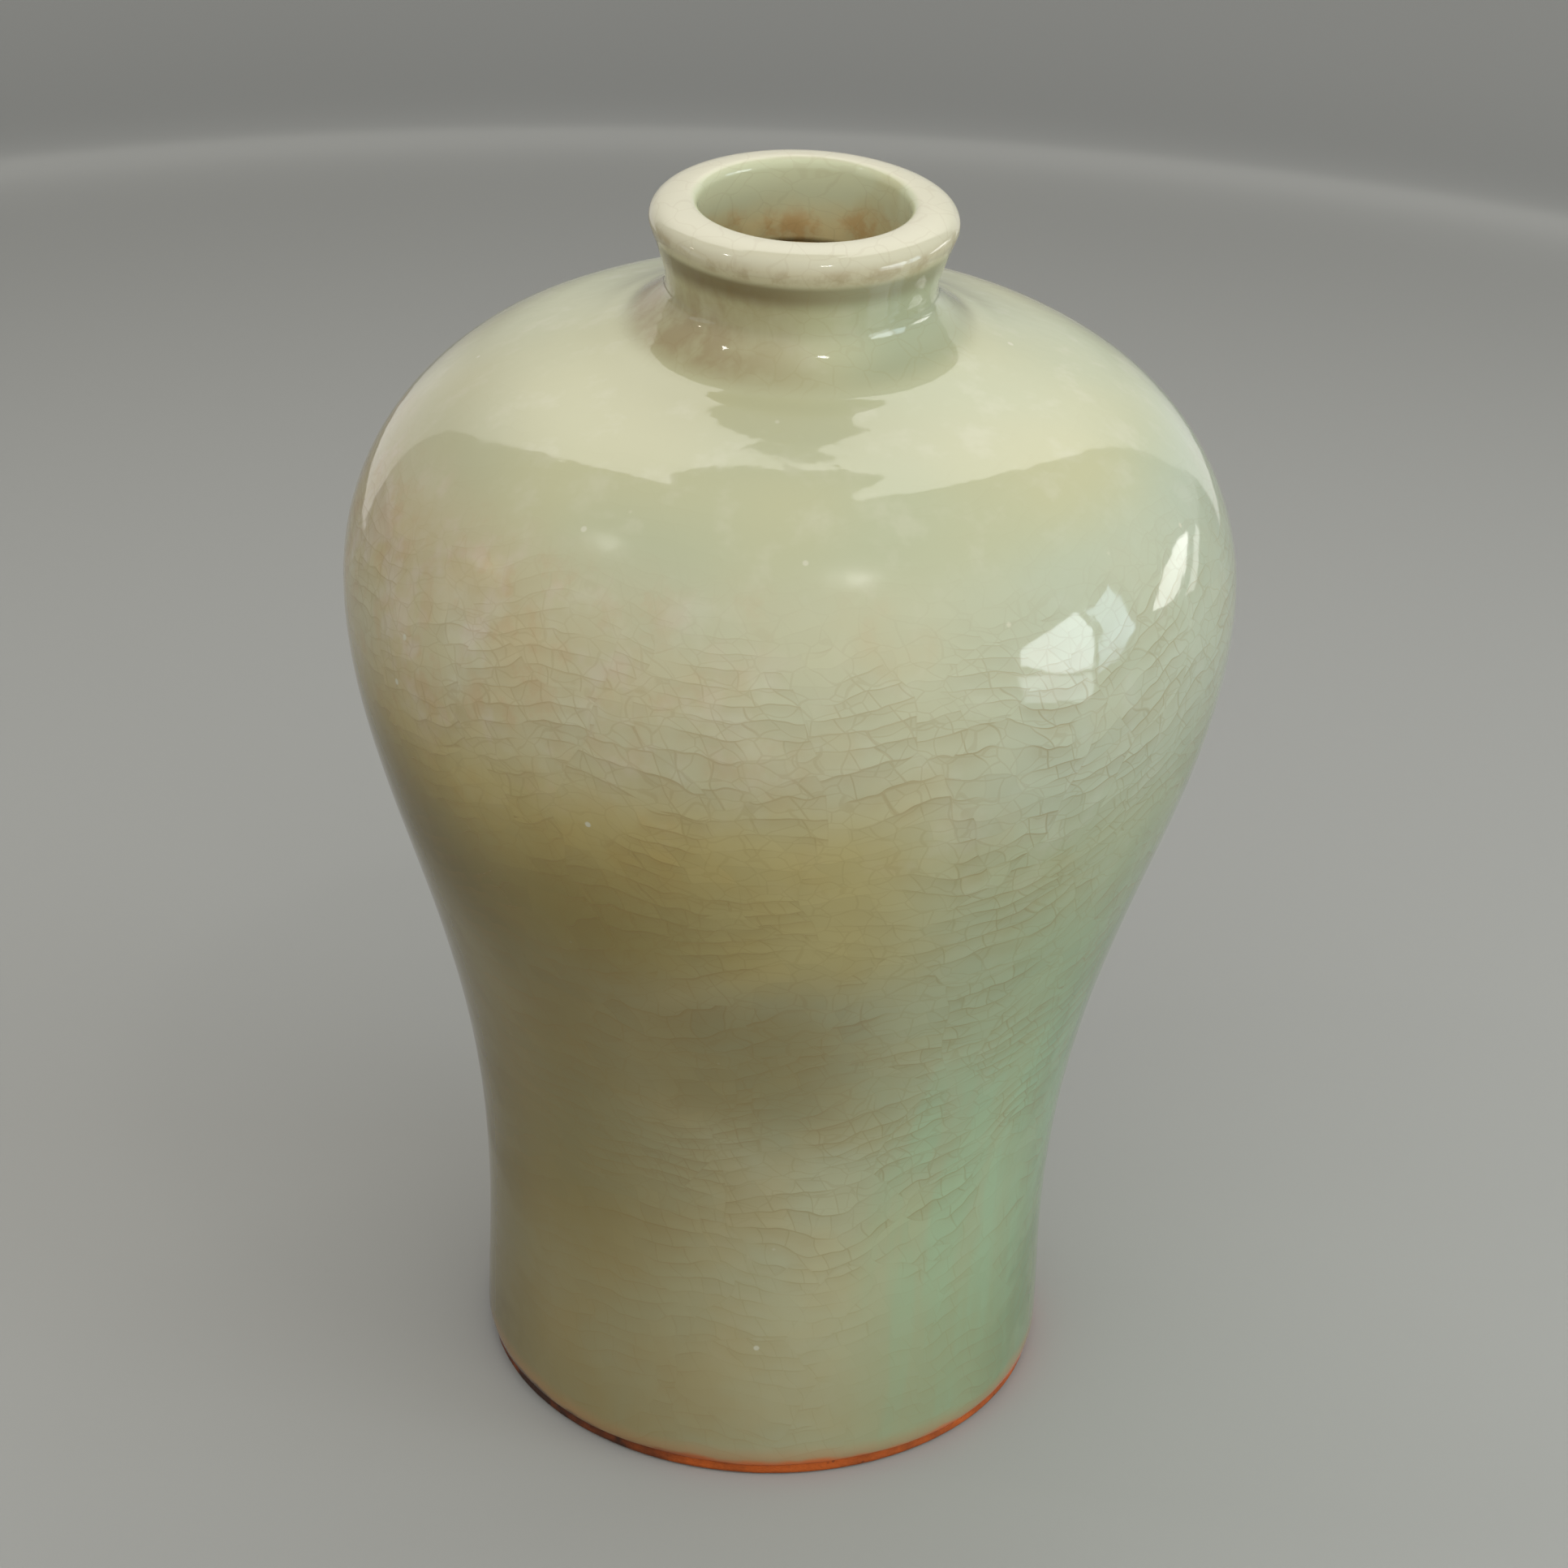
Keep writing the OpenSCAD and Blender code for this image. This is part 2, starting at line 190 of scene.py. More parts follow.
class Bench:
    """Short hand for placing and wiring the nodes of one tree."""

    def __init__(self, tree):
        self.tree = tree

    def put(self, kind, *wires, **settings):
        """Add a node, set its settings, and fill its inputs in order, or by (name, value)."""
        node = self.tree.nodes.new(kind)
        for name, value in settings.items():
            setattr(node, name, value)
        for place, wire in enumerate(wires):
            if isinstance(wire, tuple) and len(wire) == 2 and isinstance(wire[0], str):
                place, wire = wire
            self.feed(node.inputs[place], wire)
        return node

    def feed(self, socket, wire):
        """Link a socket to another, or give it a value."""
        if isinstance(wire, bpy.types.NodeSocket):
            self.tree.links.new(wire, socket)
        elif wire is not None:
            socket.default_value = wire

    def math(self, operation, *wires, clamp=False):
        return self.put("ShaderNodeMath", *wires, operation=operation, use_clamp=clamp).outputs[0]

    def chain(self, operation, wires):
        """Run one operation along all the wires, from the first to the last."""
        whole = wires[0]
        for wire in wires[1:]:
            whole = self.math(operation, whole, wire)
        return whole

    def add(self, *wires):
        return self.chain("ADD", wires)

    def sub(self, *wires):
        return self.chain("SUBTRACT", wires)

    def mul(self, *wires):
        return self.chain("MULTIPLY", wires)

    def div(self, *wires):
        return self.chain("DIVIDE", wires)

    def most(self, *wires):
        return self.chain("MAXIMUM", wires)

    def vector(self, operation, *wires):
        return self.put("ShaderNodeVectorMath", *wires, operation=operation).outputs[0]

    def scale(self, vector, factor):
        return self.put("ShaderNodeVectorMath", vector, ("Scale", factor),
                        operation="SCALE").outputs[0]

    def combine(self, x, y, z):
        return self.put("ShaderNodeCombineXYZ", x, y, z).outputs[0]

    def separate(self, vector):
        return self.put("ShaderNodeSeparateXYZ", vector).outputs

    def radius(self, x, y):
        """Distance from the axis."""
        return self.math("SQRT", self.add(self.mul(x, x), self.mul(y, y)))

    def ramp(self, value, low, high, start=0.0, end=1.0):
        """Smooth step from start to end while value goes from low to high."""
        return self.put("ShaderNodeMapRange", value, low, high, start, end,
                        interpolation_type="SMOOTHSTEP").outputs[0]

    def noise(self, vector, scale, detail=2.0, roughness=0.5):
        return self.put("ShaderNodeTexNoise", ("Vector", vector), ("Scale", scale),
                        ("Detail", detail), ("Roughness", roughness),
                        noise_dimensions="3D").outputs[0]

    def swing(self, vector, scale, detail=2.0, roughness=0.5):
        """A noise that swings about nought instead of one half."""
        return self.sub(self.noise(vector, scale, detail, roughness), 0.5)

    def stray(self, vector, scale, detail, reach):
        """The vector, moved about by a noise by half of reach at most."""
        drift = self.put("ShaderNodeTexNoise", ("Vector", vector), ("Scale", scale),
                         ("Detail", detail), noise_dimensions="3D").outputs["Color"]
        return self.vector("ADD", vector, self.scale(
            self.vector("SUBTRACT", drift, (0.5, 0.5, 0.5)), reach))

    def cells(self, vector, feature="F1"):
        """Cells one unit wide."""
        return self.put("ShaderNodeTexVoronoi", ("Vector", vector), ("Scale", 1.0),
                        feature=feature, voronoi_dimensions="3D").outputs

    def blend(self, factor, under, over, mode="MIX"):
        """Mix two colours."""
        node = self.put("ShaderNodeMix", data_type="RGBA", blend_type=mode, clamp_factor=True)
        for place, wire in ((0, factor), (6, under), (7, over)):
            self.feed(node.inputs[place], wire)
        return node.outputs[2]

    def coat(self, under, over, *weights):
        """Lay one colour over another, as strongly as the weights multiplied."""
        return self.blend(self.mul(*weights), under, over)

    def group(self, tree, **inputs):
        """Place a shared group with its own values, named with _ for each space."""
        node = self.put("ShaderNodeGroup", node_tree=tree)
        for name, wire in inputs.items():
            self.feed(node.inputs[name.replace("_", " ")], wire)
        return node.outputs


def shared_group(name, kind, inputs, given_out="NodeSocketFloat"):
    """Wrap a function that wires a node group, so that the group is made once and then shared.

    An input is given as its default value, or as the type of its socket when it has none. The
    function returns the wires of the outputs by name, all of one type.
    """
    types = {float: "NodeSocketFloat", int: "NodeSocketInt"}

    def wrap(wire_up):
        def fetch():
            if name in bpy.data.node_groups:
                return bpy.data.node_groups[name]
            tree = bpy.data.node_groups.new(name, kind)
            sockets, bench = tree.interface, Bench(tree)
            for label, given in inputs.items():
                socket = sockets.new_socket(name=label, in_out="INPUT",
                                            socket_type=types.get(type(given), given))
                if type(given) in types:
                    socket.default_value = given
            start = tree.nodes.new("NodeGroupInput")
            end = tree.nodes.new("NodeGroupOutput")
            for label, wire in wire_up(bench, start.outputs).items():
                sockets.new_socket(name=label, in_out="OUTPUT", socket_type=given_out)
                bench.feed(end.inputs[label], wire)
            return tree
        return fetch
    return wrap


def placed(name, data):
    """A new object in the scene."""
    thing = bpy.data.objects.new(name, data)
    bpy.context.scene.collection.objects.link(thing)
    return thing


def node_outline(node):
    """The outline (r, z) of a turned CAD node, in order, read from the rings of its mesh."""
    mesh = bpy.data.objects[node].data
    ring_at, rings, ring_of = {}, [], []
    for vertex in mesh.vertices:
        r, z = math.hypot(vertex.co.x, vertex.co.y), vertex.co.z
        column, row = round(r / RING_GRID), round(z / RING_GRID)
        found = None
        for i in (column - 1, column, column + 1):
            for j in (row - 1, row, row + 1):
                found = ring_at.get((i, j), found)
        if found is None:
            found = len(rings)
            ring_at[(column, row)] = found
            rings.append((r, z))
        ring_of.append(found)
    beside = [set() for _ in rings]
    for edge in mesh.edges:
        a, b = (ring_of[k] for k in edge.vertices)
        if a != b:
            beside[a].add(b)
            beside[b].add(a)
    ends = [k for k, near in enumerate(beside) if len(near) == 1]
    if len(ends) == 2:
        first = max(ends, key=lambda k: rings[k][1])
    else:
        first = min(range(len(rings)), key=lambda k: (rings[k][1], -rings[k][0]))
    path = [first]
    while True:
        near = [k for k in beside[path[-1]] if k not in path]
        if not near:
            break
        path.append(min(near, key=lambda k: math.dist(rings[k], rings[path[-1]])))
    if len(path) != len(rings):
        raise RuntimeError(f"{node}: outline has {len(path)} of {len(rings)} rings")
    return [Vector((rings[k][0], 0, rings[k][1])) for k in path]


def drawn_fine(points, gap):
    """A smooth run through the points, with no step longer than gap."""
    fine = []
    for k, (b, c) in enumerate(zip(points, points[1:])):
        a = points[k - 1] if k > 0 else b * 2 - c
        d = points[k + 2] if k + 2 < len(points) else c * 2 - b
        parts = max(1, math.ceil((c - b).length / gap))
        before, step, after = (b - a).length, (c - b).length, (d - c).length
        soft = (b - a).angle(c - b, 0) < 0.5 and (c - b).angle(d - c, 0) < 0.5
        rise_in = ((b - a) / before + (c - b) / step) * step / 2 if soft else c - b
        rise_out = ((c - b) / step + (d - c) / after) * step / 2 if soft else c - b
        for part in range(parts):
            t = part / parts
            fine.append(b * (2 * t**3 - 3 * t**2 + 1) + rise_in * (t**3 - 2 * t**2 + t)
                        + c * (3 * t**2 - 2 * t**3) + rise_out * (t**3 - t**2))
    return fine + [points[-1]]


def cut_fine(points, gap):
    """A straight run through the points, with no step longer than gap."""
    fine = []
    for a, b in zip(points, points[1:]):
        parts = max(1, math.ceil((b - a).length / gap))
        fine += [a.lerp(b, k / parts) for k in range(parts)]
    return fine + [points[-1].copy()]


def on_axis(point):
    """The place on the axis level with a point."""
    return Vector((0, 0, point.z))


def eased(points, last):
    """1 from the first point to the last one that shows, easing to 0 near both and beyond."""
    along = [0.0]
    for a, b in zip(points, points[1:]):
        along.append(along[-1] + (b - a).length)
    return [min(1.0, max(0.0, min(place, along[last] - place) / SEAM_EASE)) for place in along]


def eased_step(value, start, end):
    """0 before start, 1 past end, with a soft rise between."""
    t = min(1.0, max(0.0, (value - start) / (end - start)))
    return t * t * (3 - 2 * t)


def swell(value, middle, width):
    """1 at the middle, fading softly to 0 over a few widths."""
    return math.exp(-((value - middle) / width) ** 2 / 2)


def bearing(turn, rise):
    """The way to a place at turn from behind the vase and rise above level, in degrees."""
    turn, rise = math.radians(turn), math.radians(rise)
    return Vector((math.sin(turn) * math.cos(rise), math.cos(turn) * math.cos(rise),
                   math.sin(rise)))


@shared_group("Potters wheel", "GeometryNodeTree",
              {"Outline": "NodeSocketGeometry", "Rows": 10, "Steps Round": 64, "Sway": 0.0,
               "Ripple": 0.0, "Ripple Gap": 0.014, "Edge Waver": 0.0, "Grit": 0.0, "Seed": 7,
               "Finish": "NodeSocketMaterial"}, "NodeSocketGeometry")
def wheel_group(bench, given):
    """The wheel: turns an outline into a closed, slightly uneven skin."""
    outline, rows, steps = given["Outline"], given["Rows"], given["Steps Round"]

    def attribute(label):
        return bench.put("GeometryNodeInputNamedAttribute", label, data_type="FLOAT").outputs[0]

    def sampled(field, kind="FLOAT"):
        return bench.put("GeometryNodeSampleIndex", outline, field, row, data_type=kind,
                         domain="POINT").outputs[0]

    sheet = bench.put("GeometryNodeMeshGrid", 1.0, 1.0, rows, bench.add(steps, 1))
    across = bench.separate(sheet.outputs["UV Map"])
    row = bench.math("ROUND", bench.mul(across[0], bench.sub(rows, 1)))
    point = sampled(bench.put("GeometryNodeInputPosition").outputs[0], "FLOAT_VECTOR")
    kept = sheet.outputs["Mesh"]
    for label in ("shown", "brim"):
        kept = bench.put("GeometryNodeStoreNamedAttribute", kept, None, ("Name", label),
                         ("Value", sampled(attribute(label))), data_type="FLOAT",
                         domain="POINT").outputs[0]
    turn = bench.mul(across[1], math.tau)
    radius, _, height = bench.separate(point)
    turned = bench.combine(bench.mul(radius, bench.math("COSINE", turn)),
                           bench.mul(radius, bench.math("SINE", turn)), height)
    thrown = bench.put("GeometryNodeSetPosition", kept, None, turned)
    closed = bench.put("GeometryNodeMergeByDistance", thrown.outputs[0], None, WELD_GAP)

    shift = bench.combine(bench.mul(given["Seed"], 0.731), 0.0, 0.0)
    here = bench.vector("ADD", bench.put("GeometryNodeInputPosition").outputs[0], shift)
    sway = bench.mul(bench.swing(bench.vector("MULTIPLY", here, (1, 1, 0.55)), 26.0, 1.0), 2.0,
                     given["Sway"])
    flat = bench.scale(bench.vector("MULTIPLY", here, (0.12, 0.12, 1.0)),
                       bench.div(1.0, given["Ripple Gap"]))
    wave = bench.mul(bench.swing(flat, 1.0, 1.0), 2.0, given["Ripple"])
    sand = bench.mul(bench.swing(here, 900.0, 3.0, 0.6), given["Grit"])
    amount = bench.mul(bench.add(sway, wave, sand), attribute("shown"))
    lift = bench.scale(bench.put("GeometryNodeInputNormal").outputs[0], amount)

    slow = bench.noise(bench.vector("MULTIPLY", here, (1, 1, 0)), 42.0, 2.0, 0.6)
    drop = bench.mul(bench.sub(slow, 0.32), bench.mul(given["Edge Waver"], 3.0), attribute("brim"))
    lift = bench.vector("ADD", lift, bench.combine(0.0, 0.0, drop))
    pressed = bench.put("GeometryNodeSetPosition", closed.outputs[0], None, None, lift)
    smooth = bench.put("GeometryNodeSetShadeSmooth", pressed.outputs[0])
    whole = bench.put("GeometryNodeRealizeInstances", smooth.outputs[0])
    coated = bench.put("GeometryNodeSetMaterial", whole.outputs[0], None, given["Finish"])
    return {"Skin": coated.outputs[0]}


def thrown_piece(name, node, outline, shown, material, brim=None, **values):
    """Turn an outline on the wheel into a plain closed mesh that stands for a CAD node."""
    drawing = bpy.data.meshes.new(name + "_outline")
    count = len(outline)
    drawing.from_pydata([p[:] for p in outline], [(k, k + 1) for k in range(count - 1)], [])
    fields = {"shown": shown, "brim": brim or [0.0] * count}
    for label, weights in fields.items():
        drawing.attributes.new(label, "FLOAT", "POINT").data.foreach_set("value", weights)
    blank = placed(name + "_blank", drawing)
    wheel = blank.modifiers.new("Wheel", "NODES")
    wheel.node_group = wheel_group()
    sockets = {item.name: item.identifier for item in wheel.node_group.interface.items_tree
               if item.in_out == "INPUT"}
    sizes = bpy.context.scene.meiping_sizes
    values = {"Rows": count, "Steps_Round": sizes.round_steps, "Seed": sizes.seed,
              "Ripple_Gap": sizes.ripple_gap, "Finish": material, **values}
    for label, value in values.items():
        wheel[sockets[label.replace("_", " ")]] = value
    graph = bpy.context.evaluated_depsgraph_get()
    mesh = bpy.data.meshes.new_from_object(blank.evaluated_get(graph), depsgraph=graph)
    blank.modifiers.remove(wheel)
    bpy.data.objects.remove(blank)
    mesh.name = name
    for label in fields:
        if label in mesh.attributes:
            mesh.attributes.remove(mesh.attributes[label])
    skin = bmesh.new()
    skin.from_mesh(mesh)
    bmesh.ops.recalc_face_normals(skin, faces=skin.faces)
    open_edges = sum(1 for edge in skin.edges if len(edge.link_faces) != 2)
    skin.to_mesh(mesh)
    skin.free()
    if open_edges:
        raise RuntimeError(f"{name}: {open_edges} edges are not closed")
    piece = placed(name, mesh)
    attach(piece, "root")
    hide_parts(node)
    return piece


@shared_group("Craze network", "ShaderNodeTree",
              {"Vector": "NodeSocketVector", "Cell": 0.006, "Flatness": 1.0, "Wander": 0.002,
               "Width": 0.0003, "Offset": 0.0})
def craze_group(bench, given):
    """Fine fired cracks: stained lines and the soft stain beside them."""
    place = bench.vector(
        "ADD", bench.stray(given["Vector"], 90.0, 2.0, bench.mul(given["Wander"], 2.0)),
        bench.combine(given["Offset"], given["Offset"], 0.0))
    place = bench.vector("MULTIPLY", place, bench.combine(1.0, 1.0, given["Flatness"]))
    place = bench.scale(place, bench.div(1.0, given["Cell"]))
    edge = bench.cells(place, "DISTANCE_TO_EDGE")["Distance"]
    width = bench.div(given["Width"], given["Cell"])
    return {"Line": bench.ramp(edge, bench.mul(width, 0.3), width, 1.0, 0.0),
            "Stain": bench.ramp(edge, 0.0, 0.3, 1.0, 0.0)}


@shared_group("Craze tiers", "ShaderNodeTree",
              {"Vector": "NodeSocketVector", "Tier": 0.003, "Climb": 20.0, "Joint Gap": 0.006,
               "Panel": 0.016, "Width": 0.0003})
def tier_group(bench, given):
    """Wavy cracks that climb round the belly in tiers, with short joints between them."""
    add, mul, div, ramp = bench.add, bench.mul, bench.div, bench.ramp
    place = given["Vector"]
    x, y, z = bench.separate(place)
    turn = bench.math("ARCTAN2", x, mul(y, -1.0))
    drift = add(mul(bench.swing(place, 21.0, 0.0), 0.024),
                mul(bench.swing(place, 62.0, 0.0), 0.0075),
                mul(bench.swing(place, 170.0, 1.0), 0.0026))
    over = mul(ramp(z, 0.15, 0.175), bench.sub(0.078, bench.radius(x, y)), 0.6)
    climbed = add(z, over, drift)
    panel = bench.scale(bench.stray(place, 50.0, 1.0, 0.016), div(1.0, given["Panel"]))
    border = bench.cells(panel, "DISTANCE_TO_EDGE")["Distance"]
    shift = bench.separate(bench.cells(panel)["Color"])[0]
    climb = mul(turn, div(given["Climb"], math.tau))
    phase = add(bench.sub(div(climbed, given["Tier"]), climb), shift)
    row, rise = bench.math("FLOOR", phase), bench.math("FRACT", phase)
    along = add(div(mul(turn, 0.066), given["Joint Gap"]), mul(row, 7.37),
                mul(bench.swing(place, 120.0, 0.0), 1.1), mul(rise, 0.3))
    side, brick = (bench.put("ShaderNodeTexVoronoi", ("W", along), ("Scale", 1.0),
                             ("Randomness", 0.8), feature=feature, voronoi_dimensions="1D").outputs
                   for feature in ("DISTANCE_TO_EDGE", "F1"))
    line = ramp(rise, bench.sub(1.0, div(given["Width"], given["Tier"])), 1.0)
    joint = ramp(side["Distance"], 0.0, div(mul(given["Width"], 0.6), given["Joint Gap"]), 1.0, 0.0)
    seam = ramp(border, 0.0, div(mul(given["Width"], 0.7), given["Panel"]), 1.0, 0.0)
    seen = bench.noise(bench.vector("ADD", place, bench.combine(0.0, 0.0, shift)), 75.0, 1.0)
    seen = ramp(seen, 0.38, 0.58, 0.2, 1.0)
    # Stain darkens each tier towards the crack at its top: partly stain, partly painted shade of the
    # tilted crack.
    return {"Line": mul(bench.most(line, mul(joint, 0.85), mul(seam, 0.3)), seen),
            "Stain": mul(ramp(rise, 0.1, 1.0), seen),
            "Tone": bench.separate(brick["Color"])[0]}


@shared_group("Pin marks", "ShaderNodeTree",
              {"Vector": "NodeSocketVector", "Spacing": 0.01, "Size": 0.0004, "Share": 0.3})
def pin_group(bench, given):
    """Scattered pin marks: a few of many cells carry one small round dot."""
    dots = bench.cells(bench.scale(given["Vector"], bench.div(1.0, given["Spacing"])))
    reach = bench.div(given["Size"], given["Spacing"])
    near = bench.ramp(dots["Distance"], bench.mul(reach, 0.5), reach, 1.0, 0.0)
    pick = bench.math("LESS_THAN", bench.separate(dots["Color"])[1], given["Share"])
    return {"Mask": bench.mul(near, pick)}


@shared_group("Fired clouds", "ShaderNodeTree", {"Vector": "NodeSocketVector", "Shift": 0.0})
def cloud_group(bench, given):
    """Slow patches in the glaze: one broad field, one middling, one fine mottle."""
    place = bench.vector("ADD", given["Vector"], bench.combine(0.0, given["Shift"], 0.0))
    return {"Broad": bench.ramp(bench.noise(place, 16.0, 2.0), 0.32, 0.68),
            "Patch": bench.ramp(bench.noise(place, 48.0, 3.0, 0.55), 0.34, 0.68),
            "Mottle": bench.ramp(bench.noise(place, 190.0, 4.0, 0.6), 0.3, 0.7)}


@shared_group("Clay grit", "ShaderNodeTree", {"Vector": "NodeSocketVector", "Grain": 900.0})
def grit_group(bench, given):
    """Bare fired clay: coarse tone, fine grain and dark iron specks."""
    place = given["Vector"]
    specks = bench.group(pin_group(), Vector=place, Spacing=0.0022, Size=0.0005, Share=0.35)
    return {"Tone": bench.ramp(bench.noise(place, 60.0, 4.0, 0.6), 0.3, 0.7),
            "Grain": bench.noise(place, given["Grain"], 5.0, 0.7),
            "Specks": specks["Mask"]}


def empty_material(name):
    """A material without nodes, and the bench to wire it on."""
    material = bpy.data.materials.new(name)
    material.use_nodes = True
    material.node_tree.nodes.clear()
    return material, Bench(material.node_tree)


def new_finish(name):
    """A material with its bench, a Principled shader and object coordinates."""
    material, bench = empty_material(name)
    skin = bench.put("ShaderNodeBsdfPrincipled")
    bench.put("ShaderNodeOutputMaterial", skin.outputs[0])
    return material, bench, skin, bench.put("ShaderNodeTexCoord").outputs["Object"]


def fire(bench, skin, body, roughness, relief, depth, ior=1.5):
    """Give the shader its colour, roughness and a relief of the depth in metres."""
    bump = bench.put("ShaderNodeBump", ("Strength", 1.0), ("Distance", depth), ("Height", relief))
    for name, wire in (("Base Color", body), ("Roughness", roughness), ("IOR", ior),
                       ("Normal", bump.outputs[0])):
        bench.feed(skin.inputs[name], wire)


def side_colours(bench, at, tones):
    """Foot to shoulder: celadon, cool on the right, toasted on the left, with painted shade at the
    edges, low on the left and round the waist.
    """
    add, mul, ramp, coat, x, z = bench.add, bench.mul, bench.ramp, bench.coat, at.x, at.z
    left = ramp(x, 0.03, -0.06)
    right = ramp(x, 0.005, 0.055)
    warm = bench.math("ADD", mul(left, 0.8), mul(bench.sub(at.patch, 0.5), 0.5), clamp=True)
    body = coat(tones.celadon, tones.straw, at.broad, 0.6)
    body = coat(body, tones.straw, ramp(z, 0.19, 0.16), 0.35)
    body = coat(body, tones.tan, warm, ramp(z, 0.194, 0.178))
    body = coat(body, tones.sea_green, right, ramp(z, 0.175, 0.10), add(0.65, mul(at.broad, 0.35)))
    body = coat(body, tones.flush, ramp(at.mottle, 0.45, 1.0), warm, ramp(z, 0.193, 0.184),
                ramp(z, 0.11, 0.16), 0.3)
    body = coat(body, tones.cream, ramp(bench.noise(at.place, 120.0, 3.0, 0.6), 0.5, 0.75),
                ramp(z, 0.125, 0.15, 0.06, 0.3))
    belly = mul(ramp(z, 0.140, 0.158), ramp(z, 0.194, 0.186))
    body = coat(body, tones.cream, belly, 0.22)
    # Milky clouds on the warm belly, partly glaze colour and partly painted reflection.
    puffs = bench.noise(bench.vector("ADD", at.place, (0.3, 0.0, 0.1)), 85.0, 3.0, 0.62)
    body = coat(body, tones.bloom_and_reflection, ramp(puffs, 0.50, 0.66), belly, left, 0.45)
    body = coat(body, tones.collar_brown, ramp(x, -0.034, -0.060), ramp(z, 0.168, 0.182), 0.26)
    body = coat(body, tones.haze, ramp(x, 0.018, 0.046), ramp(z, 0.197, 0.188),
                ramp(z, 0.135, 0.155), 0.3)
    body = coat(body, tones.honey, ramp(z, 0.108, 0.125), ramp(z, 0.166, 0.146),
                ramp(x, 0.036, 0.010), 0.55)
    # Painted shade: umber darkens the waist under the belly and the lower warm side.
    waist_shade = mul(ramp(z, 0.065, 0.092), ramp(z, 0.128, 0.104), ramp(x, 0.035, 0.0), 0.6)
    painted_shade = mul(ramp(z, 0.156, 0.124), ramp(x, 0.012, -0.04), ramp(z, 0.02, 0.06, 0.46, 0.78))
    body = coat(body, tones.shade_umber, bench.most(painted_shade, waist_shade))
    # Painted shade down the left silhouette.
    body = coat(body, tones.edge_shade_brown, bench.most(at.edge, at.thin), 0.55)
    streaks = bench.noise(bench.vector("MULTIPLY", at.place, (1.0, 1.0, 0.14)), 150.0, 2.0)
    body = coat(body, tones.mint, ramp(x, 0.012, 0.03), ramp(z, 0.105, 0.075),
                add(0.3, mul(ramp(streaks, 0.42, 0.62), 0.7)), 0.5)
    # Deep green at the cool side's silhouette, partly painted shade.
    body = coat(body, tones.edge_shade_green, ramp(at.lean, 0.72, 1.0), ramp(z, 0.165, 0.13),
                ramp(at.patch, 0.3, 0.75, 0.55, 1.0), 0.5)
    # The same brown darkens the glaze towards the foot.
    return coat(body, tones.edge_shade_brown, ramp(z, 0.055, 0.008), 0.3)


def neck_colours(bench, at, tones, body):
    """Collar, painted shade in the neck's crease and under the lip, the rolled lip and the straight
    throat.
    """
    mul, ramp, coat, x, z = bench.mul, bench.ramp, bench.coat, at.x, at.z
    collar = mul(ramp(z, 0.2070, 0.2098), ramp(z, 0.2245, 0.2225))
    runs = bench.noise(bench.vector("MULTIPLY", at.place, (1, 1, 0.4)), 210.0, 3.0, 0.6)
    body = coat(body, tones.collar_brown, collar, ramp(x, 0.010, -0.018),
                ramp(runs, 0.3, 0.6, 0.5, 1.0), 0.7)
    body = coat(body, tones.collar_green, collar, ramp(x, 0.004, 0.018), 0.6)
    # Painted shade in the crease where the neck meets the shoulder.
    body = coat(body, tones.shade_umber, ramp(z, 0.2065, 0.2085), ramp(z, 0.2125, 0.209), 0.15)
    # Painted shade under the lip, stronger on the warm side.
    body = coat(body, tones.under_lip_shade, ramp(z, 0.2185, 0.2222), ramp(z, 0.2256, 0.2238),
                ramp(x, 0.015, -0.015, 0.45, 0.8))
    roll = ramp(z, 0.2236, 0.2254)
    body = coat(body, tones.lip_beige, roll, 0.95)
    # Mottled brown on the roll below its top: partly painted shade where the roll turns down.
    body = coat(body, tones.collar_brown, roll, ramp(z, 0.2285, 0.2265),
                ramp(at.mottle, 0.35, 1.0, 0.0, 0.45))
    body = coat(body, tones.cream, ramp(z, 0.2266, 0.2288), 0.55)
    deep = ramp(bench.sub(z, mul(at.patch, 0.004)), 0.2235, 0.2150)
    throat = coat(tones.throat_green, tones.throat_straw, deep)
    throat = coat(throat, tones.straw, ramp(at.patch, 0.35, 0.75, 0.15, 0.6))
    throat = coat(throat, tones.stain_inside, deep, ramp(at.mottle, 0.2, 1.0, 0.1, 0.62))
    return coat(body, throat, ramp(at.out, 0.0196, 0.0184), ramp(z, 0.19, 0.195))


def crazed(bench, at, sizes, tones, body):
    """The body with its stained craze, and the craze lines alone."""
    add, mul, ramp, coat, z = bench.add, bench.mul, bench.ramp, bench.coat, at.z
    tier = bench.group(tier_group(), Vector=at.place, Tier=sizes.craze_tier, Climb=14.0,
                       Joint_Gap=0.0056, Panel=0.024, Width=sizes.craze_width * 1.8)
    fine = bench.group(craze_group(), Vector=at.place, Cell=sizes.craze_cell, Flatness=1.7,
                       Wander=0.0036, Width=sizes.craze_width)
    seen = mul(ramp(z, 0.030, 0.075, 0.4, 1.0), ramp(z, 0.194, 0.164, 0.05, 1.0),
               ramp(at.broad, 0.0, 0.8, 0.75, 1.0), ramp(z, 0.204, 0.198))
    above = add(ramp(z, 0.206, 0.209, 0.0, 0.2),
                mul(ramp(z, 0.05, 0.07), ramp(z, 0.196, 0.170), 0.34))
    line = bench.most(mul(tier["Line"], seen), mul(fine["Line"], above))
    # Craze lines fade under the painted edge shade.
    line = mul(line, bench.sub(1.0, mul(bench.most(at.edge, at.thin), 0.85)))
    # Tier stain: partly painted shade beside each crack.
    body = coat(body, tones.craze_stain, tier["Stain"], seen, 0.22)
    body = coat(body, tones.craze_stain, line, 0.42)
    value = add(1.0, mul(bench.sub(tier["Tone"], 0.5), seen, 0.07))
    return bench.blend(1.0, body, bench.combine(value, value, value), "MULTIPLY"), line


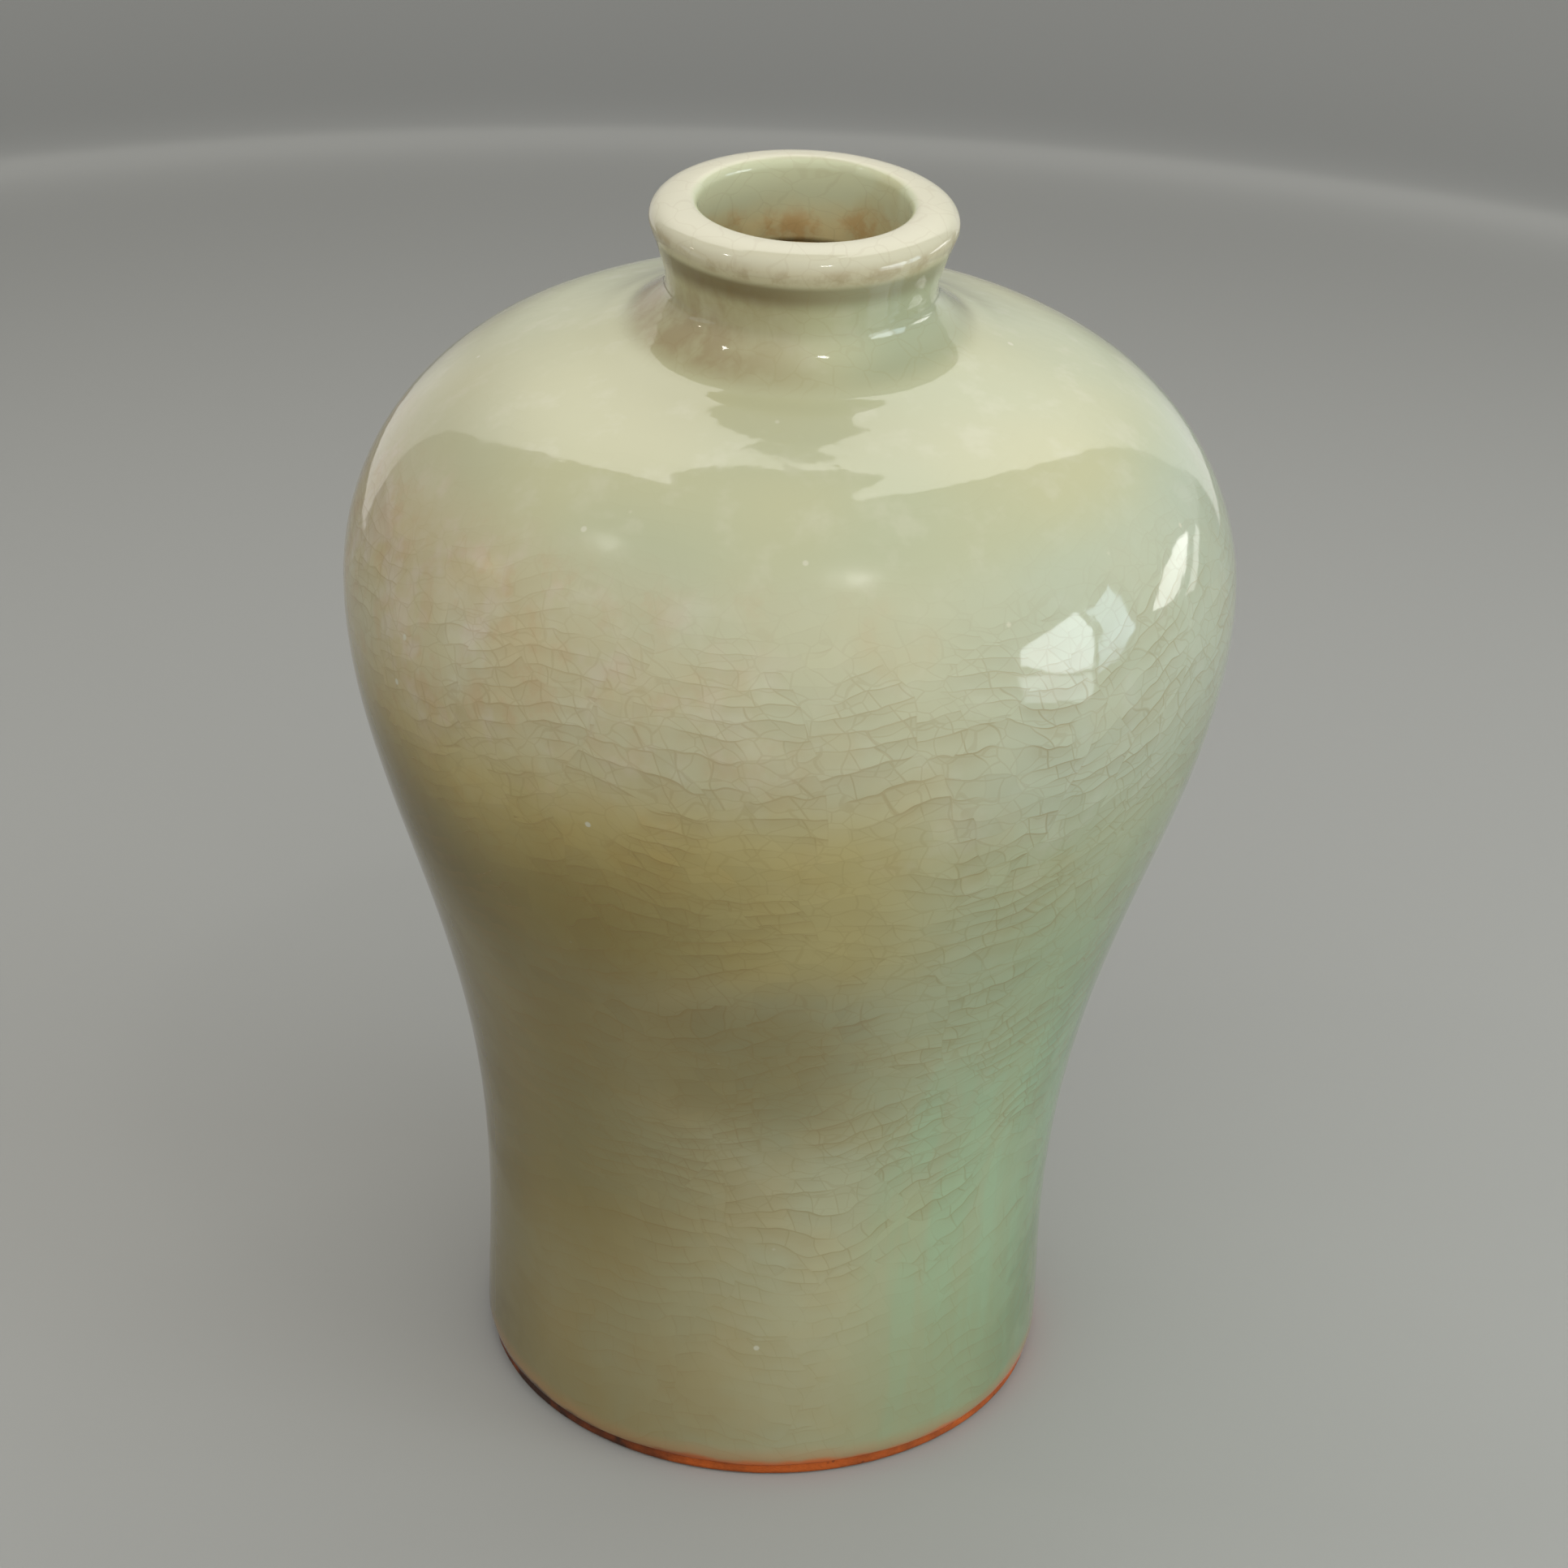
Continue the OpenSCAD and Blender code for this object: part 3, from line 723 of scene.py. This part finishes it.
def outer_glaze_finish(sizes, tones):
    """Crazed celadon: green to tan with painted shade at the left, cream at the lip, stained craze
    lines.
    """
    material, bench, skin, place = new_finish("celadon_glaze")
    add, mul, sub, ramp, coat = bench.add, bench.mul, bench.sub, bench.ramp, bench.coat
    x, y, z = bench.separate(place)
    clouds = bench.group(cloud_group(), Vector=place, Shift=0.013 * sizes.seed)
    out = bench.radius(x, y)
    lean = bench.div(x, out)
    # edge and thin mark painted shade down the left silhouette, not a thinner glaze.
    slope = add(lean, mul(sub(z, 0.17), 5.2))
    edge = mul(ramp(slope, -0.78, -1.1), ramp(z, 0.168, 0.138), ramp(x, -0.02, -0.045),
               ramp(z, 0.095, 0.125))
    thin = mul(ramp(lean, -0.70, -1.0), ramp(z, 0.168, 0.13),
               ramp(clouds["Patch"], 0.25, 0.7, 0.7, 1.0))
    at = SimpleNamespace(place=place, x=x, z=z, out=out, lean=lean, edge=edge, thin=thin,
                         broad=clouds["Broad"], patch=clouds["Patch"], mottle=clouds["Mottle"])
    body = side_colours(bench, at, tones)
    body = neck_colours(bench, at, tones, body)
    body, line = crazed(bench, at, sizes, tones, body)

    pale = bench.group(pin_group(), Vector=place, Spacing=0.009, Size=0.0007, Share=0.16)["Mask"]
    dark = bench.group(pin_group(), Vector=bench.vector("ADD", place, (0.4, 0.1, 0.2)),
                       Spacing=0.016, Size=0.0008, Share=0.10)["Mask"]
    body = coat(body, tones.cream, pale, 0.8)
    body = coat(body, tones.foot_burnt, dark, 0.7)
    hem = add(z, mul(sub(at.patch, 0.5), 0.0016))
    toast = coat(tones.foot_orange, tones.foot_burnt, ramp(x, 0.0, -0.035))
    body = coat(body, tones.flush, ramp(hem, 0.0075, 0.0030), 0.55)
    body = coat(body, toast, ramp(hem, 0.0040, 0.0026), 0.9)

    dry = mul(ramp(z, 0.199, 0.192), ramp(z, 0.09, 0.13), ramp(x, 0.042, 0.026),
              ramp(lean, -0.93, -0.86))
    roughness = add(0.035, mul(at.mottle, 0.035), mul(dry, 0.15), mul(line, 0.12))
    # The painted left-edge shade is also less glossy.
    matt = bench.most(mul(thin, ramp(z, 0.0, 0.06, 0.4, 1.0)), mul(edge, 0.8))
    bench.feed(skin.inputs["Specular IOR Level"], sub(0.5, mul(matt, 0.42)))
    peel = add(bench.noise(place, 170.0, 1.0, 0.4), bench.noise(place, 360.0, 1.0, 0.4))
    relief = sub(mul(peel, 0.5), mul(line, 0.06), mul(dark, 1.2))
    fire(bench, skin, body, roughness, relief, 0.06 * MM, GLAZE_IOR)
    return material


def inner_glaze_finish(tones):
    """Green at the throat, washed brown and heavily stained lower down."""
    material, bench, skin, place = new_finish("inner_glaze_wash")
    add, mul, coat, z = bench.add, bench.mul, bench.coat, bench.separate(place)[2]
    clouds = bench.group(cloud_group(), Vector=place, Shift=0.4)
    wash = bench.ramp(add(z, mul(clouds["Patch"], 0.006)), 0.222, 0.210)
    body = coat(tones.celadon, tones.straw, clouds["Broad"], 0.6)
    body = coat(body, tones.stain_inside, wash, 0.75)
    body = coat(body, tones.tan, clouds["Mottle"], 0.3)
    craze = bench.group(craze_group(), Vector=place, Cell=0.0065, Width=0.0005, Offset=0.7)
    body = coat(body, tones.craze_stain, craze["Stain"], 0.25)
    body = coat(body, tones.craze_stain, craze["Line"], 0.75)
    relief = bench.sub(bench.noise(place, 260.0, 3.0), craze["Line"])
    fire(bench, skin, body, add(0.1, mul(clouds["Mottle"], 0.1)), relief, 0.08 * MM, GLAZE_IOR)
    return material


def base_glaze_finish(tones):
    """Thin grey green glaze brushed over the recessed base."""
    material, bench, skin, place = new_finish("base_glaze_wash")
    add, mul, coat = bench.add, bench.mul, bench.coat
    clouds = bench.group(cloud_group(), Vector=place, Shift=0.9)
    x, y, _ = bench.separate(place)
    body = coat(tones.celadon, tones.straw, clouds["Broad"])
    body = coat(body, tones.tan, clouds["Patch"], 0.5)
    body = coat(body, tones.stain_inside, bench.ramp(bench.radius(x, y), 0.034, 0.041), 0.7)
    craze = bench.group(craze_group(), Vector=place, Cell=0.007, Width=0.0004, Offset=0.2)
    body = coat(body, tones.craze_stain, craze["Line"], 0.6)
    body = coat(body, tones.craze_stain, craze["Stain"], 0.15)
    dots = bench.group(pin_group(), Vector=place, Spacing=0.007, Size=0.0009, Share=0.3)["Mask"]
    body = coat(body, tones.foot_burnt, dots, 0.8)
    relief = bench.sub(bench.noise(place, 300.0, 3.0), dots)
    fire(bench, skin, body, add(0.12, mul(clouds["Mottle"], 0.2)), relief, 0.1 * MM, GLAZE_IOR)
    return material


def foot_finish(tones):
    """Bare foot: orange iron clay, burnt on the warm side, worn to buff underneath."""
    material, bench, skin, place = new_finish("bare_foot_clay")
    add, mul, coat = bench.add, bench.mul, bench.coat
    x, _, z = bench.separate(place)
    grit = bench.group(grit_group(), Vector=place, Grain=1400.0)
    burn = bench.math("ADD", bench.ramp(x, 0.005, -0.035),
                      mul(bench.sub(grit["Tone"], 0.5), 0.9), clamp=True)
    body = coat(tones.foot_orange, tones.foot_burnt, burn)
    body = coat(body, tones.foot_buff, bench.ramp(z, 0.0006, 0.0001), 0.75)
    body = coat(body, tones.foot_burnt, grit["Specks"], 0.6)
    body = coat(body, tones.foot_burnt, grit["Grain"], 0.35)
    fire(bench, skin, body, add(0.55, mul(grit["Grain"], 0.3)), grit["Grain"], 0.25 * MM)
    return material


def clay_finish(name, colour_in, colour_out, grain):
    """Dry fired clay or slip with grain and iron specks."""
    material, bench, skin, place = new_finish(name)
    grit = bench.group(grit_group(), Vector=place, Grain=grain)
    body = bench.coat(colour_in, colour_out, grit["Tone"], 0.5)
    body = bench.coat(body, IRON_SPECK, grit["Specks"], 0.5)
    fire(bench, skin, body, bench.add(0.7, bench.mul(grit["Grain"], 0.25)), grit["Grain"], 0.2 * MM)
    return material


class MEIPING_OT_outer_glaze(bpy.types.Operator):
    """Throw the outer glaze from foot to throat"""

    bl_idname = "meiping.outer_glaze"
    bl_label = "Outer Glaze"

    def execute(self, context):
        sizes, tones = context.scene.meiping_sizes, context.scene.meiping_colours
        rings = node_outline("outer_glaze")
        if rings[1].x < rings[0].x:
            rings = rings[:1] + rings[:0:-1]
        throat = min(p.x for p in rings)
        turn = max(k for k, p in enumerate(rings) if p.x < throat + 0.05 * MM)
        glazed = drawn_fine(rings[:turn + 1], sizes.row_gap)
        for p in glazed:
            self.finger(p, sizes, rings[0].z)
        points = glazed + rings[turn + 1:] + glazed[:1]
        brim = [max(0.0, 1.0 - (p.z - points[0].z) / (4 * MM)) for p in points]
        piece = thrown_piece("celadon_outer_glaze", "outer_glaze", points,
                             eased(points, len(glazed) - 1), outer_glaze_finish(sizes, tones),
                             brim, Sway=sizes.sway, Ripple=sizes.ripple,
                             Edge_Waver=sizes.edge_waver)
        return {"FINISHED"}

    def finger(self, p, sizes, foot):
        """Press the finger ridge, the neck's crease and ridge and the thin hem into a point."""
        if p.z > SHOULDER_TOP:
            p.z += sizes.shoulder_ridge * swell(p.x, *SHOULDER_RIDGE_AT)
            p.z -= sizes.neck_crease * swell(p.x, *NECK_CREASE_AT)
            p.x += sizes.neck_ridge * swell(p.z, *NECK_RIDGE_AT) * (p.x > NECK_SIDE)
        low = max(0.0, 1.0 - (p.z - foot) / (3 * MM))
        p.x -= sizes.hem_thinning * low * low


class MEIPING_OT_inner_glaze(bpy.types.Operator):
    """Throw the glaze that lines the chamber and the throat"""

    bl_idname = "meiping.inner_glaze"
    bl_label = "Inner Glaze"

    def execute(self, context):
        sizes, tones = context.scene.meiping_sizes, context.scene.meiping_colours
        rings = node_outline("inner_glaze")
        top = max(p.z for p in rings)
        level_top = [k for k, p in enumerate(rings) if p.z > top - 0.001 * MM]
        first, last = level_top[0], level_top[-1]
        if rings[last].x > rings[first].x:
            rings = rings[::-1]
            first = len(rings) - 1 - last
        lining = drawn_fine(rings[:first + 1], sizes.row_gap * 1.6)
        points = [on_axis(lining[0])] + lining + rings[first + 1:] + [on_axis(rings[-1])]
        shown = eased(points, len(lining))
        shown[0] = shown[1] = 0.0
        piece = thrown_piece("inner_glaze_lining", "inner_glaze", points, shown,
                             inner_glaze_finish(tones), Sway=sizes.sway,
                             Ripple=sizes.inner_ripple)
        return {"FINISHED"}


class MEIPING_OT_base_glaze(bpy.types.Operator):
    """Throw the thin glaze inside the foot"""

    bl_idname = "meiping.base_glaze"
    bl_label = "Base Glaze"

    def execute(self, context):
        sizes, tones = context.scene.meiping_sizes, context.scene.meiping_colours
        rings = node_outline("base_glaze")
        if rings[0].z > rings[-1].z:
            rings = rings[::-1]
        points = cut_fine([on_axis(rings[0])] + rings + [on_axis(rings[-1])], 0.8 * MM)
        inner = min(range(len(points)), key=lambda k: (points[k].z, points[k].x))
        piece = thrown_piece("base_glaze_wash", "base_glaze", points, eased(points, inner),
                             base_glaze_finish(tones), Sway=sizes.sway, Ripple=sizes.ripple,
                             Ripple_Gap=9 * MM)
        return {"FINISHED"}


class MEIPING_OT_foot_ring(bpy.types.Operator):
    """Throw the bare, burnt foot ring"""

    bl_idname = "meiping.foot_ring"
    bl_label = "Foot Ring"

    def execute(self, context):
        sizes, tones = context.scene.meiping_sizes, context.scene.meiping_colours
        rings = node_outline("foot_ring")
        points = cut_fine(rings + rings[:1], 0.4 * MM)
        top = max(p.z for p in points)
        shown = [min(1.0, max(0.0, (top - p.z) / (1.2 * MM) - 0.4)) for p in points]
        shown = [w if p.z > 0.02 * MM else 0.3 for w, p in zip(shown, points)]
        piece = thrown_piece("bare_foot_ring", "foot_ring", points, shown, foot_finish(tones),
                             Grit=sizes.foot_wear)
        return {"FINISHED"}


class MEIPING_OT_clay(bpy.types.Operator):
    """Finish the thrown clay sections and the slip in their joints"""

    bl_idname = "meiping.clay"
    bl_label = "Clay And Slip"

    def execute(self, context):
        tones = context.scene.meiping_colours
        clay = clay_finish("stoneware_body", tones.clay, tones.foot_buff, 700.0)
        slip = clay_finish("luting_slip", tones.slip, tones.clay, 1600.0)
        for names, finish in ((CLAY_NODES, clay), (SLIP_NODES, slip)):
            for name in names:
                for holder in bpy.data.objects[name].material_slots:
                    holder.material = finish
        return {"FINISHED"}


class MEIPING_OT_studio(bpy.types.Operator):
    """Lay the floor, hang the lights and set the camera"""

    bl_idname = "meiping.studio"
    bl_label = "Studio"

    def execute(self, context):
        scene = context.scene
        studio, tones = scene.meiping_studio, scene.meiping_colours
        self.lay_floor(tones)
        self.raise_sheet(studio.back)
        for name, share, tone, corners in (
                ("window_upper", 0.95, COOL,
                 [(120, 18), (101, 20), (99, 12), (103, 0), (113, 4), (121, 12)]),
                ("window_lower", 0.6, COOL, [(123, 9), (112, 3), (103, -2), (104, -10), (123, -2)]),
                ("window_side", 0.6, BLUE,
                 [(98, 18), (88, 20), (88, 3), (95, -1), (102, -3), (98, 10)]),
                ("window_trail", 0.45, COOL, [(118, -9), (104, -12), (102, -21), (119, -19)]),
                ("window_left", 0.16, COOL,
                 [(-80, 12), (-92, 11), (-108, -1), (-110, -16), (-98, -14), (-85, 1)]),
                ("low_strip", 0.7, WHITE, [(54, 3), (60, 7), (70, 8), (80, 3), (72, -1), (62, 0)]),
                ("low_strip_edge", 0.35, WHITE, [(49, 0), (54, 0), (66, -4), (62, -6), (50, -2)])):
            self.cut_pane(name, studio.window * share, tone, corners)
        self.hang("front_fill", (178, 42), 1.6, 3.0, 2.2, studio.front, WHITE)
        self.hang("left_glint", (-92, 23), 1.0, 0.03, 0.04, studio.glint, WARM)
        self.hang("left_high_glint", (-104, 53), 1.0, 0.05, 0.05, studio.glint, WHITE)
        self.hang("front_high_glint", (152, 62), 1.0, 0.09, 0.05, studio.glint, WHITE)
        scene.world = bpy.data.worlds.new("room_light")
        scene.world.use_nodes = True
        sky = scene.world.node_tree.nodes["Background"]
        sky.inputs["Color"].default_value = (1.0, 1.0, 0.99, 1.0)
        sky.inputs["Strength"].default_value = studio.room
        camera = placed("camera", bpy.data.cameras.new("camera"))
        camera.data.lens = CAMERA_LENS
        camera.data.sensor_width = CAMERA_SENSOR
        camera.data.clip_start = 0.01
        camera.matrix_world = (Matrix.Translation(CAMERA_AT)
                               @ Matrix.Rotation(math.radians(CAMERA_TILT), 4, "X")
                               @ Matrix.Rotation(math.radians(CAMERA_PAN), 4, "Z"))
        scene.camera = camera
        scene.view_settings.view_transform = "Standard"
        return {"FINISHED"}

    def lay_floor(self, tones):
        """A round pale floor, darker only for the light that bounces from it."""
        sheet = bmesh.new()
        bmesh.ops.create_circle(sheet, cap_ends=True, radius=FLOOR_RADIUS, segments=96)
        mesh = bpy.data.meshes.new("floor")
        sheet.to_mesh(mesh)
        sheet.free()
        floor = placed("floor", mesh)
        material, bench = empty_material("floor_paper")
        ray = bench.put("ShaderNodeLightPath").outputs
        plain = bench.most(ray["Is Camera Ray"], ray["Is Glossy Ray"], ray["Is Transmission Ray"])
        shade = bench.blend(plain, tones.floor_shade, tones.floor)
        skin = bench.put("ShaderNodeBsdfPrincipled", ("Base Color", shade), ("Roughness", 1.0),
                         ("Specular IOR Level", 0.0))
        bench.put("ShaderNodeOutputMaterial", skin.outputs[0])
        mesh.materials.append(material)

    def raise_sheet(self, radiance):
        """A curved white sheet behind and above the vase, brightest at its top edge."""
        columns, rows = 60, 40
        points = []
        for column in range(columns + 1):
            t = column / columns
            middle = -47 + 90 * t
            crest = SHEET_CREST + 4 * eased_step(middle, -34, -44)
            crest += 11 * eased_step(middle, 22, 28) - 6 * eased_step(middle, 33, 43)
            for row in range(rows + 1):
                rise = SHEET_FOOT + (crest - SHEET_FOOT) * row / rows
                left = -46.5 - 5 * eased_step(rise, 15, 35) + 5 * eased_step(rise, 50, 64)
                right = 38 + 6 * eased_step(rise, -13, 10)
                points.append(SHEET_MIDDLE + bearing(left + (right - left) * t, rise) * SHEET_AWAY)
        corners = [column * (rows + 1) + row for column in range(columns) for row in range(rows)]
        faces = [(k, k + 1, k + rows + 2, k + rows + 1) for k in corners]

        def level_at(bench, x, z):
            dim = bench.most(bench.ramp(z, 0.1, 0.36, 0.4, 1.0),
                             bench.ramp(bench.math("ABSOLUTE", x), 0.16, 0.34, 0.4, 1.0))
            return bench.add(bench.mul(dim, bench.ramp(z, 0.34, 0.74, 0.33, 1.0)),
                             bench.mul(x, bench.ramp(z, 0.2, 0.5, 0.0, 0.06)))

        self.glow("back_sheet", points, faces, radiance, PAPER, (0.34, 0.74, 0.0, 1.0), level_at)

    def cut_pane(self, name, radiance, tone, corners):
        """A glowing sheet cut to the corners (turn, rise), one metre from the vase."""
        points = [VASE_MIDDLE + bearing(*corner) for corner in corners]
        self.glow(name, points, [tuple(range(len(points)))], radiance, tone,
                  (0.06, 0.24, 0.0, 1.3))

    def glow(self, name, points, faces, radiance, tone, spread, level_at=None):
        """A glowing sheet in full for mirror images, and for the rest by a ramp up its height."""
        mesh = bpy.data.meshes.new(name)
        mesh.from_pydata([p[:] for p in points], [], faces)
        board = placed(name, mesh)
        board.visible_camera = False
        board.visible_shadow = False
        material, bench = empty_material(name + "_glow")
        x, _, z = bench.separate(bench.put("ShaderNodeTexCoord").outputs["Object"])
        mirrored = bench.put("ShaderNodeLightPath").outputs["Is Glossy Ray"]
        strength = bench.most(mirrored, bench.ramp(z, *spread))
        if level_at:
            strength = bench.mul(level_at(bench, x, z), strength)
        lamp = bench.put("ShaderNodeEmission", (*tone, 1.0), bench.mul(strength, radiance))
        bench.put("ShaderNodeOutputMaterial", lamp.outputs[0])
        mesh.materials.append(material)

    def hang(self, name, way, away, wide, tall, radiance, tone):
        """Hang a flat light the way (turn, rise) from the vase, facing it."""
        light = bpy.data.lights.new(name, "AREA")
        light.shape = "RECTANGLE"
        light.size = wide
        light.size_y = tall
        light.color = tone
        light.energy = radiance * math.pi * wide * tall
        lamp = placed(name, light)
        side = bearing(*way)
        lamp.location = VASE_MIDDLE + side * away
        lamp.rotation_euler = side.to_track_quat("Z", "Y").to_euler()
        lamp.visible_camera = False
        lamp.visible_glossy = name != "front_fill"


class VIEW3D_PT_meiping(bpy.types.Panel):
    """Buttons and sizes for the vase"""

    bl_label = "Meiping Vase"
    bl_idname = "VIEW3D_PT_meiping"
    bl_space_type = "VIEW_3D"
    bl_region_type = "UI"
    bl_category = "Meiping"

    def draw(self, context):
        for operator in OPERATORS:
            self.layout.operator(operator.bl_idname)
        scene = context.scene
        for settings in (scene.meiping_sizes, scene.meiping_colours, scene.meiping_studio):
            box = self.layout.box()
            for name in settings.__annotations__:
                box.prop(settings, name)


SETTINGS = {"meiping_sizes": MeipingSizes, "meiping_colours": MeipingColours,
            "meiping_studio": MeipingStudio}
OPERATORS = (MEIPING_OT_outer_glaze, MEIPING_OT_inner_glaze, MEIPING_OT_base_glaze,
             MEIPING_OT_foot_ring, MEIPING_OT_clay, MEIPING_OT_studio)


def register():
    """Register the classes and hang the settings on the scene."""
    for name, group in SETTINGS.items():
        bpy.utils.register_class(group)
        setattr(bpy.types.Scene, name, bpy.props.PointerProperty(type=group))
    for item in (*OPERATORS, VIEW3D_PT_meiping):
        bpy.utils.register_class(item)


def unregister():
    """Take the classes and settings off again."""
    for item in reversed((*OPERATORS, VIEW3D_PT_meiping)):
        bpy.utils.unregister_class(item)
    for name, group in SETTINGS.items():
        delattr(bpy.types.Scene, name)
        bpy.utils.unregister_class(group)


def main():
    """Make every piece and the stage."""
    register()
    for operator in OPERATORS:
        family, action = operator.bl_idname.split(".")
        getattr(getattr(bpy.ops, family), action)()


if __name__ == "__main__":
    main()
